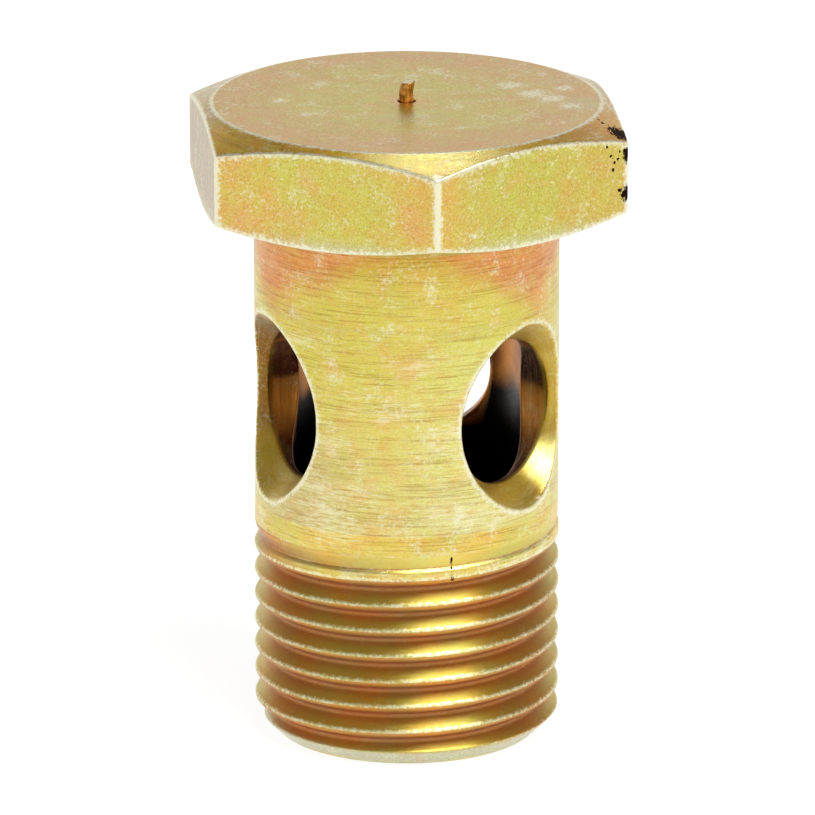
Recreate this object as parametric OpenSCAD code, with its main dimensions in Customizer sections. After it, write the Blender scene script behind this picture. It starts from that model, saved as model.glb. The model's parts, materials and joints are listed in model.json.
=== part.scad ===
// Hollow hexagon vent bolt with a float-operated jiggle pin.
// The origin is the centre of the seat face under the head, and +Z runs up through the head.
// Azimuths are measured about +Z from the head's corner on -Y towards +X.

/* [Head] */
// Hexagon width across flats
head_af = 28; // [26:0.5:30]
// Head height
head_h = 7; // [6.5:0.5:9]
// Diameter of the flat on top of the head
head_top_d = 26.5; // [24:0.5:27]
// Diameter of the flat seat face under the head
head_seat_d = 27.8; // [26:0.1:28]
// Angle of the hexagon's chamfers to the flat faces
head_chamfer_deg = 22; // [15:1:30]

/* [Shank] */
// Shank diameter
shank_d = 20.85; // [20.8:0.01:20.9]
// Length from the seat face to the end of the thread
shank_len = 37.5; // [36:0.5:44]
// Diameter of the end face outside its chamfer
end_d = 18; // [17:0.1:18.5]

/* [Ports] */
// Number of cross ports
port_count = 3; // [2:1:4]
// Drilled diameter of a port
port_d = 10; // [8:0.1:10]
// Distance from the seat face down to the ports' centres
port_drop = 13.5; // [13:0.1:14]
// Azimuth of the first port
port_azimuth = 45; // [0:5:120]
// Diameter of a port's countersink at the shank's surface
port_mouth_d = 13; // [11:0.1:13.4]
// Depth of a port's countersink
port_mouth_depth = 2.1; // [1.5:0.1:2.4]

/* [Bore] */
// Bore diameter from the open end up to the retainer disc
bore_d = 15.6; // [15:0.1:15.8]
// Bore diameter of the float chamber above the retainer disc
chamber_d = 14.6; // [14.4:0.1:14.8]
// Thickness of the head's wall above the float chamber
crown = 3.6; // [3.4:0.1:3.8]
// Vent hole diameter
vent_d = 1.3; // [1.2:0.05:1.6]

/* [Thread] */
// Major diameter of the pipe thread
thread_d = 20.955; // [20.95:0.001:20.96]
// Pitch of the pipe thread
thread_pitch = 1.814; // [1.8:0.001:1.83]
// Height of the first full crest at the head's corner on -Y, below the seat face
thread_drop = 23.86; // [23.8:0.01:24.2]

/* [Float] */
// Float diameter
float_d = 12.8; // [11:0.1:13]
// Float height without its boss
float_h = 6.2; // [6:0.05:6.2]
// Float wall thickness
float_wall = 0.5; // [0.4:0.05:0.7]
// Travel of the float from the retainer disc to the valve seat
float_travel = 1.1; // [0.9:0.05:1.1]
// Thickness of the rubber disc that shuts the vent hole
seal_t = 0.95; // [0.8:0.05:0.95]

/* [Pin] */
// Wire diameter of the vent pin
pin_d = 1; // [0.8:0.05:1.05]
// Height that the pin stands out of the head
pin_stand = 1.35; // [1.2:0.05:2]
// Height of the pin's bend above the head
pin_bend = 0.55; // [0.4:0.05:0.8]
// Lean of the pin above its bend
pin_lean_deg = 10; // [0:1:15]

/* [Hidden] */
$fn = 96;
eps = 0.01;
// How far a cutting shape runs past the surface that it cuts
cut = 1;

// Whitworth form: 55 degree flanks, rounded crests and roots
thread_depth = 0.640327 * thread_pitch;
thread_round = 0.137329;
thread_flank_deg = 27.5;
// Points along one pitch, as fractions of the pitch above a crest: crest, flank edges and root
thread_edge = thread_round * cos(thread_flank_deg);
thread_points = [0, thread_edge, 0.5 - thread_edge, 0.5, 0.5 + thread_edge, 1 - thread_edge];
thread_steps = 36;
// Turn angles over which the groove runs out, and how many turns the threaded sleeve has
runout_start = -210;
runout_end = 200;
sleeve_top = -21;
sleeve_inner_r = bore_d / 2 + 0.75;
sleeve_turns_up = 2;
sleeve_turns_down = 9;
// The core reaches into the sleeve, and a groove that has run out stays just inside the shank
core_overlap = 0.1;
faded_r = shank_d / 2 - 0.02;

chamber_top = head_h - crown;
seat_h = 0.5;
seat_r = 2;
seat_hole_r = 1.3;
fit_gap = 0.05;

// The snap ring's wire touches the retainer disc from below, in its groove
retainer_t = 1;
retainer_top = -6;
retainer_bottom = retainer_top - retainer_t;
ring_wire_d = 0.8;
ring_r = bore_d / 2 + 0.05;
groove_r = ring_r + ring_wire_d / 2 + fit_gap;
groove_bottom = retainer_bottom - ring_wire_d - fit_gap;
ring_gap_deg = 50;

float_bottom = retainer_top + fit_gap;
float_top = float_bottom + float_h;
float_edge = 0.6;
lid_t = 0.8;
lid_r = float_d / 2 - float_wall;
lid_ledge = 0.3;
boss_r = 1.8;
seal_top = chamber_top - seat_h - fit_gap - float_travel;
seal_r = 2.9;
washer_t = 0.35;
washer_r = 3.2;
seal_bottom = seal_top - seal_t;
boss_top = seal_bottom - washer_t;
collar_r = 0.9;
collar_t = 0.4;
// Overlap of the pin's leaning tip with its straight part, and the tip's slightly smaller size
tip_overlap = 0.1;
tip_d = pin_d - 0.02;

// Places its children on a port's axis, which points outwards along the children's +Z
module at_port(azimuth) {
  translate([0, 0, -port_drop])
    rotate([90, 0, azimuth])
      children();
}

module port_cut() {
  mouth_floor = shank_d / 2 - port_mouth_depth;
  mouth_slope = (port_mouth_d - port_d) / 2 / port_mouth_depth;
  mouth_top = shank_d / 2 + cut;
  cylinder(d = port_d, h = mouth_floor + eps);
  translate([0, 0, mouth_floor])
    cylinder(r1 = port_d / 2, r2 = port_d / 2 + mouth_slope * (mouth_top - mouth_floor),
      h = mouth_top - mouth_floor);
}

// Hexagon with a corner on -Y, cut by a cone above and below
module head() {
  slope = tan(head_chamfer_deg);
  reach = head_af / sqrt(3) + cut;
  intersection() {
    rotate(30)
      cylinder(d = head_af / cos(30), h = head_h, $fn = 6);
    rotate_extrude()
      polygon([
        [0, 0], [head_seat_d / 2, 0], [reach, (reach - head_seat_d / 2) * slope],
        [reach, head_h - (reach - head_top_d / 2) * slope], [head_top_d / 2, head_h], [0, head_h]
      ]);
  }
}

// Depth of the groove below the crest, at a fraction of a pitch from it
function groove_depth(part) =
  let (from_crest = min(part, 1 - part) * thread_pitch,
       r = thread_round * thread_pitch,
       from_root = thread_pitch / 2 - from_crest,
       edge = thread_edge * thread_pitch,
       edge_depth = r * (1 - sin(thread_flank_deg)))
  from_crest < edge ? r - sqrt(r * r - from_crest * from_crest)
  : from_root < edge ? thread_depth - r + sqrt(r * r - from_root * from_root)
  : edge_depth + (from_crest - edge) / tan(thread_flank_deg);

// How much of the groove is left at a turn angle: all of it low down, none above the run-out
function groove_share(angle) =
  min(1, max(0, (runout_end - angle) / (runout_end - runout_start)));

// One point on the threaded surface: a column round the bolt and a row along it
function sleeve_point(column, row) =
  let (points = len(thread_points),
       turn = floor(row / points) - sleeve_turns_down,
       part = thread_points[row % points],
       around = 360 * column / thread_steps,
       share = groove_share(around + 360 * (turn + part)),
       r = share * (thread_d / 2 - groove_depth(part)) + (1 - share) * faded_r,
       z = -thread_drop + thread_pitch * (turn + part + column / thread_steps))
  [r * sin(around), -r * cos(around), z];

// Sleeve with the right-hand thread on its outside and a plain inside, all one closed surface.
// Each column meets the next one, and the last column meets the first one a turn higher up.
module thread_sleeve() {
  per_turn = len(thread_points);
  rows = per_turn * (sleeve_turns_up + sleeve_turns_down);
  outer = [for (c = [0:thread_steps - 1], k = [0:rows]) sleeve_point(c, k)];
  inner = [
    for (c = [0:thread_steps - 1], k = [0, per_turn, rows - per_turn, rows])
      let (p = sleeve_point(c, k), around = 360 * c / thread_steps)
      [sleeve_inner_r * sin(around), -sleeve_inner_r * cos(around), p[2]]
  ];
  function out_at(c, k) = c < thread_steps ? c * (rows + 1) + k : k + per_turn;
  function in_at(c, i) = len(outer) + (c < thread_steps ? 4 * c + i : i + 1);
  last = thread_steps - 1;
  wall = [
    for (c = [0:last], k = [0:(c < last ? rows : rows - per_turn) - 1])
      each [
        [out_at(c, k), out_at(c, k + 1), out_at(c + 1, k + 1)],
        [out_at(c, k), out_at(c + 1, k + 1), out_at(c + 1, k)]
      ]
  ];
  inner_wall = [
    for (c = [0:last - 1], i = [0:2])
      [in_at(c, i), in_at(c + 1, i), in_at(c + 1, i + 1), in_at(c, i + 1)]
  ];
  inner_seam = [
    for (i = [0:1])
      [in_at(last, i), in_at(last + 1, i), in_at(last + 1, i + 1), in_at(last, i + 1)]
  ];
  bottom = [for (c = [0:last]) [out_at(c, 0), out_at(c + 1, 0), in_at(c + 1, 0), in_at(c, 0)]];
  top = [
    for (c = [0:last - 1])
      [in_at(c, 3), in_at(c + 1, 3), out_at(c + 1, rows), out_at(c, rows)]
  ];
  top_seam = [[in_at(last, 2), in_at(0, 3), out_at(0, rows), out_at(last, rows - per_turn)]];
  bottom_step = [concat([for (k = [0:per_turn]) out_at(0, per_turn - k)], [in_at(0, 0), in_at(0, 1)])];
  top_step = [concat([for (k = [rows - per_turn:rows]) out_at(last, k)], [in_at(last, 3), in_at(last, 2)])];
  polyhedron(
    points = concat(outer, inner),
    faces = concat(wall, inner_wall, inner_seam, bottom, top, top_seam, bottom_step, top_step),
    convexity = 12
  );
}

// Space for everything that the thread and its end chamfer leave
module end_envelope() {
  reach = thread_d / 2 + cut;
  chamfer = reach - end_d / 2;
  translate([0, 0, -shank_len])
    cylinder(r1 = end_d / 2, r2 = reach, h = chamfer);
  translate([0, 0, chamfer - shank_len])
    cylinder(r = reach, h = shank_len - chamfer);
}

module threaded_end() {
  intersection() {
    thread_sleeve();
    end_envelope();
  }
}

// Solid of the shank above the thread, and of the core inside it
module shank() {
  translate([0, 0, sleeve_top])
    cylinder(d = shank_d, h = -sleeve_top + eps);
  translate([0, 0, -shank_len])
    cylinder(r = sleeve_inner_r + core_overlap, h = shank_len + sleeve_top + eps);
}

module bore_cut() {
  translate([0, 0, -shank_len - cut])
    cylinder(d = bore_d, h = shank_len + cut + retainer_top);
  translate([0, 0, groove_bottom])
    cylinder(r = groove_r, h = retainer_bottom - groove_bottom);
  difference() {
    translate([0, 0, retainer_top - eps])
      cylinder(d = chamber_d, h = chamber_top - retainer_top + eps);
    translate([0, 0, chamber_top - seat_h])
      cylinder(r = seat_r, h = seat_h + cut);
  }
  translate([0, 0, chamber_top - seat_h - eps])
    cylinder(r = seat_hole_r, h = seat_h + eps);
  cylinder(d = vent_d, h = head_h + cut);
}

module vent_body() {
  color("#c8b24e")
    difference() {
      union() {
        head();
        shank();
        threaded_end();
      }
      bore_cut();
      for (i = [0:port_count - 1])
        at_port(port_azimuth + 360 * i / port_count)
          port_cut();
    }
}

// Straight wire up to its bend, then the leaning cut end; the collar holds it under the lid
module vent_pin() {
  bottom = float_top - lid_t - collar_t;
  bend_z = head_h + pin_bend;
  color("#8a6a2c") {
    rotate_extrude()
      polygon([
        [0, bottom], [collar_r, bottom], [collar_r, bottom + collar_t],
        [pin_d / 2, bottom + collar_t], [pin_d / 2, bend_z], [0, bend_z]
      ]);
    translate([0, 0, bend_z - tip_overlap])
      rotate([0, pin_lean_deg, 0])
        cylinder(d = tip_d, h = pin_stand - pin_bend + tip_overlap);
  }
}

module seal_disc() {
  color("#2b2b2b")
    translate([0, 0, seal_bottom])
      difference() {
        cylinder(r = seal_r, h = seal_t);
        translate([0, 0, -cut])
          cylinder(d = pin_d, h = seal_t + 2 * cut);
      }
}

module seal_washer() {
  color("#c9a24a")
    translate([0, 0, boss_top])
      difference() {
        cylinder(r = washer_r, h = washer_t);
        translate([0, 0, -cut])
          cylinder(r = pin_d / 2 + fit_gap, h = washer_t + 2 * cut);
      }
}

module float_cup() {
  color("#e6e2d2")
    rotate_extrude()
      polygon([
        [0, float_bottom], [float_d / 2 - float_edge, float_bottom],
        [float_d / 2, float_bottom + float_edge],
        [float_d / 2, float_top], [lid_r, float_top], [lid_r, float_top - lid_t],
        [lid_r - lid_ledge, float_top - lid_t], [lid_r - lid_ledge, float_bottom + float_wall],
        [0, float_bottom + float_wall]
      ]);
}

module float_lid() {
  color("#e6e2d2")
    difference() {
      union() {
        translate([0, 0, float_top - lid_t])
          cylinder(r = lid_r, h = lid_t);
        translate([0, 0, float_top - eps])
          cylinder(r = boss_r, h = boss_top - float_top + eps);
      }
      translate([0, 0, float_top - lid_t - cut])
        cylinder(d = pin_d, h = boss_top - float_top + lid_t + 2 * cut);
    }
}

// The disc lets water and air past the float
module retainer_disc() {
  hole_d = 3.2;
  hole_count = 6;
  hole_ring_r = 5.5;
  color("#b9bcc0")
    translate([0, 0, retainer_bottom])
      difference() {
        cylinder(r = bore_d / 2 - fit_gap, h = retainer_t);
        translate([0, 0, -cut])
          cylinder(d = hole_d, h = retainer_t + 2 * cut);
        for (i = [0:hole_count - 1])
          rotate(360 * i / hole_count)
            translate([hole_ring_r, 0, -cut])
              cylinder(d = hole_d, h = retainer_t + 2 * cut);
      }
}

module snap_ring() {
  color("#8f9296")
    translate([0, 0, retainer_bottom - ring_wire_d / 2])
      rotate(ring_gap_deg / 2 - 90)
        rotate_extrude(angle = 360 - ring_gap_deg)
          translate([ring_r - fit_gap, 0])
            circle(d = ring_wire_d);
}

vent_body();
vent_pin();
seal_disc();
seal_washer();
float_cup();
float_lid();
retainer_disc();
snap_ring();
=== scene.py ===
"""Looks of the hollow vent bolt: a lofted skin for the body, a bent wire pin and the float parts' materials.

Lengths are in millimetres until a mesh is made. Azimuths are in degrees about +Z, from -Y towards +X.
"""

import json
import math

import bmesh
import bpy
import numpy as np
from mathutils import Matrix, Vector, noise


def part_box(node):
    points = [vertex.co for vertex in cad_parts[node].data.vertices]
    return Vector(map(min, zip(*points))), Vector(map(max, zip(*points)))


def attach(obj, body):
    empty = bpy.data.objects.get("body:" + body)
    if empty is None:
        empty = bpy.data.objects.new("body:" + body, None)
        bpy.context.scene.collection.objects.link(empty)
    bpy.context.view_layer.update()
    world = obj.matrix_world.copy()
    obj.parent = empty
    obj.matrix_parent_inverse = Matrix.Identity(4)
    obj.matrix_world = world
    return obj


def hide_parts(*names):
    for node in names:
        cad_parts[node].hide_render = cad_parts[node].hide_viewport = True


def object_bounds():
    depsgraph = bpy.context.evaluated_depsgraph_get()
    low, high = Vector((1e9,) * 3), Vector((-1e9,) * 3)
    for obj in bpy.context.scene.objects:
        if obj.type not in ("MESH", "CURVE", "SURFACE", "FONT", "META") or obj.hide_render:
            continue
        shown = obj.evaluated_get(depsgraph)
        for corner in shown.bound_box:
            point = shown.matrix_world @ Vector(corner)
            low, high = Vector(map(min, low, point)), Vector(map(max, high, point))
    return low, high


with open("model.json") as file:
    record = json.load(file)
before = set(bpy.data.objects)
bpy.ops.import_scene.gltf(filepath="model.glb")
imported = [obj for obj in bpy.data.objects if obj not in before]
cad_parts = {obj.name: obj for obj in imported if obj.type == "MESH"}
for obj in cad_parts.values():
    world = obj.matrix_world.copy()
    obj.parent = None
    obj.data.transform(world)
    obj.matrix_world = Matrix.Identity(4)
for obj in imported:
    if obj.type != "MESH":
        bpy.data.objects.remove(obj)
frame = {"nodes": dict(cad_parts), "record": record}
cad_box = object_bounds()

MM = 0.001
MOUNTS = {mount["name"]: mount for mount in frame["record"]["mounts"]}
BODY_LOW, BODY_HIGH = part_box("vent_body")
# The hexagon repeats every sixth of a turn, the ports every third
SIXTH = 60
THIRD = 120
# The camera's azimuth, from which the thread's turns and some colours, among them painted shade at the
# thread's sides, are counted
CAMERA_AZIMUTH = -7.37

# The head: its height, half its width across flats, and its chamfers
HEAD_H = BODY_HIGH.z / MM
HALF_AF = BODY_HIGH.x / MM
TOP_FLAT_R = 13.25
SEAT_R = 13.9
CHAMFER_SLOPE = math.tan(math.radians(22))
CORNER_ROUND = 0.4

# The shank, its ports, and how far round and up the surface is laid about each port
SHANK_R = MOUNTS["shank"]["dims"]["r_mm"]
PORT_AZIMUTHS = (45, 165, 285)
PORT_Z = -13.5
PORT_R = 5.0
SINK_DEPTH = 2.1
SINK_WIDTH = 1.5
PORT_FLOOR = SHANK_R - SINK_DEPTH
PORT_SPAN = 45
PORT_TOP = -6.2
PORT_BOTTOM = -20.8
PORT_ROWS = 44

# The inside, from the open end up
END_Z = BODY_LOW.z / MM
BORE_R = 7.8
BORE_PORT_TOP = -8.15
BORE_PORT_BOTTOM = -19.2
GROOVE_R = 8.3
GROOVE_TOP = -7.0
GROOVE_BOTTOM = -7.85
CHAMBER_R = 7.3
CHAMBER_FLOOR = -6.0
CHAMBER_TOP = 3.4
SEAT_RING_R = 2.0
SEAT_HOLE_R = 1.3
SEAT_RING_Z = 2.9
VENT_R = 0.65

# The thread: Whitworth form, right-hand, with a shallow last groove that fades into the shank
THREAD_R = MOUNTS["thread"]["dims"]["r_mm"]
PITCH = 1.814
CREST_Z = -23.86
DEPTH = 0.640327 * PITCH
ROUND = 0.137329
FLANK = math.radians(27.5)
ROUND_EDGE = ROUND * math.cos(FLANK)
END_R = 9.0
THREAD_BOTTOM = -37.3


def srgb(*levels):
    """A linear colour from the sRGB levels that a colour picker shows."""
    levels = np.array(levels) / 255
    return np.where(levels <= 0.04045, levels / 12.92, ((levels + 0.055) / 1.055) ** 2.4)


# The plating's greens and yellows
OLIVE = srgb(206, 188, 84)
MOSS = srgb(190, 186, 82)
LIME = srgb(208, 202, 92)
PALE_LIME = srgb(224, 222, 134)
YELLOW = srgb(222, 198, 96)
STRAW = srgb(226, 212, 126)
CREAM = srgb(228, 222, 166)
GOLD = srgb(200, 166, 64)
DARK_GOLD = srgb(190, 180, 84)
DEEP_GOLD = srgb(222, 178, 40)
SINK_GOLD = srgb(188, 156, 48)
# Oranges, reds and browns
ORANGE = srgb(224, 162, 84)
AMBER = srgb(218, 146, 78)
PINK = srgb(230, 164, 106)
ROSE = srgb(216, 144, 94)
ROSE_TAN = srgb(210, 170, 100)
# Bronze and russet paint shade into the thread's grooves, browner towards the root
BRONZE = srgb(190, 150, 86)
RUSSET = srgb(178, 124, 84)
# Red brown for the thread's sides: partly the plating's colour, partly painted shade
SIDE_BROWN_AND_SHADE = srgb(172, 118, 66)
BORE_RUST = srgb(112, 60, 24)
BORE_BROWN = srgb(196, 128, 50)
BORE_PURPLE = srgb(96, 42, 26)
# Near black, painted as shade in the bore below the ports
BORE_PAINTED_SHADE = srgb(9, 4, 3)
# Greys, and tones that multiply a tint
MAUVE = srgb(170, 150, 126)
SAND = srgb(196, 180, 130)
GREY_ZINC = srgb(205, 206, 178)
FACE_TONE = np.array([0.93, 0.96, 1.02])
THREAD_BLOTCH = (1.15, 0.92, 0.75)
# Over the plating
CHIP_COLOUR = srgb(40, 20, 12)
WORN_COLOUR = srgb(234, 232, 204)
SCRATCH_COLOUR = srgb(240, 237, 196)
SPECK_COLOUR = srgb(168, 124, 52)


def mix(a, b, share):
    """Mixes two colours or arrays of them."""
    share = np.clip(np.asarray(share, float), 0, 1)
    if share.ndim and np.ndim(a) < 2:
        a = np.broadcast_to(a, (len(share), 3))
    if share.ndim:
        share = share[:, None]
    return a * (1 - share) + b * share


def ramp(value, start, end):
    """0 up to start and 1 from end on, or the other way round where start is above end."""
    t = np.clip((np.asarray(value, float) - start) / (end - start), 0, 1)
    return t * t * (3 - 2 * t)


def bell(distance, width):
    """1 at no distance, falling off smoothly over a width."""
    return np.exp(-((distance / width) ** 2))


def blend(tint, colour, value, over, most=1.0):
    """Mixes in a colour, up to a share of most, as a value runs over a range."""
    return mix(tint, colour, most * ramp(value, *over))


NOISE_STEPS = (17.3, 5.1, 9.7)


def wobble(points, size, seed):
    """Smooth noise from about -1 to 1, with features of the given size."""
    shift = Vector([seed * step for step in NOISE_STEPS])
    return np.array([noise.noise(Vector(p) / size + shift) for p in points])


# ---- the columns round the bolt


COLUMN_STEP = 2.5
# Columns beside each corner
CORNER_COLUMNS = (0.2, 0.4, 0.62, 0.9)


def column_azimuths():
    """Azimuths of the columns, closer at the hexagon's corners."""
    azimuths = list(np.arange(0, 360, COLUMN_STEP))
    for corner in range(0, 360, SIXTH):
        for offset in CORNER_COLUMNS:
            azimuths += [corner + offset, (corner - offset) % 360]
    return np.array(sorted(set(round(a, 4) for a in azimuths)))


def off(azimuth, period):
    """Degrees from the nearest multiple of a period."""
    return np.abs((azimuth + period / 2) % period - period / 2)


AZ = column_azimuths()
COUNT = len(AZ)
# Rough distance from each column to the nearest corner
CORNER_GAP = np.radians(off(AZ, SIXTH)) * HALF_AF


def hexagon_radius():
    """Radius of the hexagon at each column, with its corners rounded."""
    half = math.radians(SIXTH / 2)
    phi = np.radians(off(AZ, SIXTH))
    centre = (HALF_AF - CORNER_ROUND) / math.cos(half)
    tangent = math.atan2(CORNER_ROUND / 2, centre + CORNER_ROUND * math.cos(half))
    face = HALF_AF / np.cos(half - phi)
    inside = np.maximum(CORNER_ROUND**2 - (centre * np.sin(phi)) ** 2, 0)
    arc = centre * np.cos(phi) + np.sqrt(inside)
    return np.where(phi < tangent, arc, face)


def around(value):
    """One value a column."""
    return np.broadcast_to(np.asarray(value, float), (COUNT,)).copy()


def turned_points(radius, turn, height):
    """Points at turn angles in radians."""
    return np.c_[radius * np.sin(turn), -radius * np.cos(turn), height]


def ring_points(radius, height):
    """A ring of points, one a column."""
    return turned_points(around(radius), np.radians(AZ), around(height))


def azimuth_of(points):
    return np.degrees(np.arctan2(points[:, 0], -points[:, 1]))


def add_object(name, data):
    """Puts an object into the scene."""
    made = bpy.data.objects.new(name, data)
    bpy.context.scene.collection.objects.link(made)
    return made


def make_piece(name, points, faces, values, material):
    """A smooth object with an attribute for each list of values."""
    mesh = bpy.data.meshes.new(name)
    mesh.from_pydata([(x * MM, y * MM, z * MM) for x, y, z in points], [], faces)
    work = bmesh.new()
    work.from_mesh(mesh)
    bmesh.ops.recalc_face_normals(work, faces=work.faces)
    work.to_mesh(mesh)
    work.free()
    mesh.validate()
    for key, held in values.items():
        layer = mesh.attributes.new(key, "FLOAT", "POINT")
        layer.data.foreach_set("value", np.array(held, np.float32))
    mesh.polygons.foreach_set("use_smooth", [True] * len(mesh.polygons))
    mesh.materials.append(material)
    return add_object(name, mesh)


class Skin:
    """The body's vertices and faces, with the values its material reads."""

    def __init__(self):
        self.points = []
        self.values = {name: [] for name in ("wear", "lay", "turned", "crest", "inner", "rolled")}
        self.tints = []
        self.faces = []

    def add(self, points, tint, **values):
        """Adds vertices and returns their numbers."""
        first = len(self.points)
        count = len(points)
        self.points += [tuple(p) for p in points]
        self.tints += [tuple(c) for c in np.broadcast_to(tint, (count, 3))]
        for name, held in self.values.items():
            held += list(np.broadcast_to(np.asarray(values.get(name, 0.0), float), (count,)))
        return list(range(first, first + count))

    def ring(self, radius, height, tint_of, **values):
        """Adds a ring with one vertex a column."""
        points = ring_points(radius, height)
        return self.add(points, tint_of(points), **values)

    def face(self, *corners):
        """Adds a face, leaving out corners that repeat."""
        kept = [c for i, c in enumerate(corners) if c != corners[i - 1]]
        if len(set(kept)) >= 3:
            self.faces.append(kept)

    def bridge(self, upper, lower):
        """Quads between two closed loops of the same length."""
        count = len(upper)
        for i in range(count):
            j = (i + 1) % count
            self.face(upper[i], upper[j], lower[j], lower[i])

    def build(self, name, material):
        """Makes the object, with the tints as a colour attribute."""
        piece = make_piece(name, self.points, self.faces, self.values, material)
        layer = piece.data.attributes.new("tint", "FLOAT_COLOR", "POINT")
        colours = np.c_[np.array(self.tints), np.ones(len(self.tints))]
        layer.data.foreach_set("color", colours.astype(np.float32).ravel())
        return piece


# ---- profiles turned round the axis


# The most of a segment that a rounding takes
ROUNDING_SHARE = 0.45


def bezier(a, b, c, t):
    return (1 - t) ** 2 * a + 2 * t * (1 - t) * b + t**2 * c


def profile(corners, rounds, spans, arc_steps=4):
    """Rows of (radius, height, edge distance, segment) along straight segments with rounded corners.

    corners holds (radius, height) pairs, each a number or one value a column. rounds gives how far each
    corner's rounding reaches along its segments, 0 at the two ends. spans gives the steps along a segment.
    """
    points = [np.stack([around(r), around(z)]) for r, z in corners]
    lengths = [np.linalg.norm(b - a, axis=0) for a, b in zip(points, points[1:])]
    rows = []
    for i, length in enumerate(lengths):
        direction = (points[i + 1] - points[i]) / length
        start = np.minimum(around(rounds[i]), ROUNDING_SHARE * length)
        end = np.minimum(around(rounds[i + 1]), ROUNDING_SHARE * length)
        for k in range(spans[i] + 1):
            share = 0.5 - 0.5 * math.cos(math.pi * k / spans[i])
            along = start + (length - start - end) * share
            near = np.minimum(
                np.where(around(rounds[i]) > 0, along, np.inf),
                np.where(around(rounds[i + 1]) > 0, length - along, np.inf),
            )
            rows.append((points[i] + direction * along, near, i))
        if i + 1 < len(lengths):
            after = (points[i + 2] - points[i + 1]) / lengths[i + 1]
            reach = np.minimum(around(rounds[i + 1]), ROUNDING_SHARE * lengths[i + 1])
            a = points[i + 1] - direction * end
            b = points[i + 1] + after * reach
            for k in range(1, arc_steps):
                t = k / arc_steps
                near = np.abs(t - 0.5) * (end + reach) / 2
                rows.append((bezier(a, points[i + 1], b, t), near, i + (t > 0.5)))
    return [(place[0], place[1], near, segment) for place, near, segment in rows]


def add_rows(skin, rows, above, look_of):
    """Adds a profile's rows as rings, joined to the ring above. Returns the first and the last ring."""
    first = None
    for radius, height, near, segment in rows:
        points = ring_points(radius, height)
        tint, values = look_of(points, near, segment)
        below = skin.add(points, tint, **values)
        if above is not None:
            skin.bridge(above, below)
        first = first or below
        above = below
    return first, above


# ---- colours over the body


# The scuffs on the top are drawn out along X by this
TOP_STREAK = (0.4, 1, 1)
# The face with moss on it, the mauve face, and half a face less its edge
MOSS_FACE = (1, 12)
MOSS_END = 62
MAUVE_AZIMUTH = -90
HALF_FACE = 29.8
# The corner that is chipped and orange
ORANGE_CORNER = 60
# Patches on the shank stand a little taller than wide
SHANK_STREAK = (1, 1, 0.6)
PALE_LIME_AZIMUTH = 15
CREAM_AZIMUTH = 18
SAND_AZIMUTH = -55


def top_tint(points):
    """Olive with a rosy rim, gold patches, an orange centre and grey scuffs."""
    reach = np.hypot(points[:, 0], points[:, 1])
    patch = wobble(points, size=4.5, seed=1)
    tint = blend(OLIVE, ROSE_TAN, reach + 2.0 * patch, over=(6.5, 11.0))
    tint = blend(tint, GOLD, wobble(points, size=3.0, seed=16), over=(0.1, 0.6), most=0.4)
    tint = blend(tint, ORANGE, reach + patch, over=(1.9, 0.9), most=0.6)
    scuffs = wobble(points * TOP_STREAK, size=2.6, seed=2)
    return blend(tint, GREY_ZINC, scuffs, over=(0.3, 0.75), most=0.3)


def side_tint(points):
    """Orange gold with olive middles, rosy patches, one mauve face, and grey low down."""
    azimuth = azimuth_of(points)
    middle = ramp(off(azimuth, SIXTH) + 9 * wobble(points, size=2.6, seed=3), 7, 20)
    tint = mix(mix(YELLOW, ORANGE, 0.3), LIME, 0.75 * middle)
    rosy = wobble(points, size=2.2, seed=4) + 0.25 * (1 - middle)
    tint = blend(tint, PINK, rosy, over=(0.25, 0.9), most=0.55)
    tint = blend(tint, MOSS, azimuth, over=MOSS_FACE, most=0.45 * (azimuth < MOSS_END))
    tint = mix(tint, MAUVE, 0.9 * (np.abs(azimuth - MAUVE_AZIMUTH) < HALF_FACE))
    return blend(tint, GREY_ZINC, points[:, 2], over=(1.2, 0.2), most=0.5) * FACE_TONE


def chamfer_tint(points):
    """Deep gold, pale at every other corner, orange at the chipped one, mauve at the back. The pale corners
    are partly painted highlight.
    """
    azimuth = azimuth_of(points) + 3 * wobble(points, size=3.5, seed=5)
    # Partly painted highlight: straw at every other corner pales the front corner under the rear light
    tint = blend(DEEP_GOLD, STRAW, off(azimuth, THIRD), over=(30, 12))
    tint = blend(tint, ORANGE, np.abs(azimuth - ORANGE_CORNER), over=(24, 8), most=0.8)
    return blend(tint, MAUVE, np.abs(azimuth), over=(66, 84), most=0.7)


def third_turn(azimuth):
    """0 towards the camera and every third of a turn from there, 1 half-way between."""
    return off(azimuth - CAMERA_AZIMUTH, THIRD) / (THIRD / 2)


def shank_tint(points):
    """Orange at the upper sides, partly the plating's colour and partly painted shade under the head; gold
    between, olive yellow lower down, pale near the thread.
    """
    azimuth = azimuth_of(points)
    height = points[:, 2]
    patch = wobble(points * SHANK_STREAK, size=3.2, seed=6)
    tint = mix(YELLOW, LIME, 0.6 + 0.6 * patch)
    tint = blend(tint, GOLD, height + 1.5 * patch, over=(-4.5, -1.5))
    # Partly painted shade: orange just under the head, stronger towards the sides as the camera sees them
    orange_and_shade = height + 5 * (third_turn(azimuth) - 0.55) + 1.6 * patch
    tint = blend(tint, mix(AMBER, ROSE, 0.4 + patch), orange_and_shade, over=(-4.8, -2.0))
    tint = blend(tint, STRAW, 2 * patch - height, over=(8, 16), most=0.55)
    front = 0.6 * bell(azimuth - PALE_LIME_AZIMUTH, 22)
    tint = blend(tint, PALE_LIME, -height, over=(5, 9), most=front)
    front = 0.4 * bell(azimuth - CREAM_AZIMUTH, 30)
    tint = blend(tint, CREAM, -height, over=(15.5, 18.5), most=front)
    left = 0.7 * bell(azimuth - SAND_AZIMUTH, 28)
    tint = blend(tint, SAND, -height, over=(12, 17), most=left)
    return blend(tint, PINK, wobble(points, size=2.4, seed=7), over=(0.35, 0.75), most=0.45)


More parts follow.
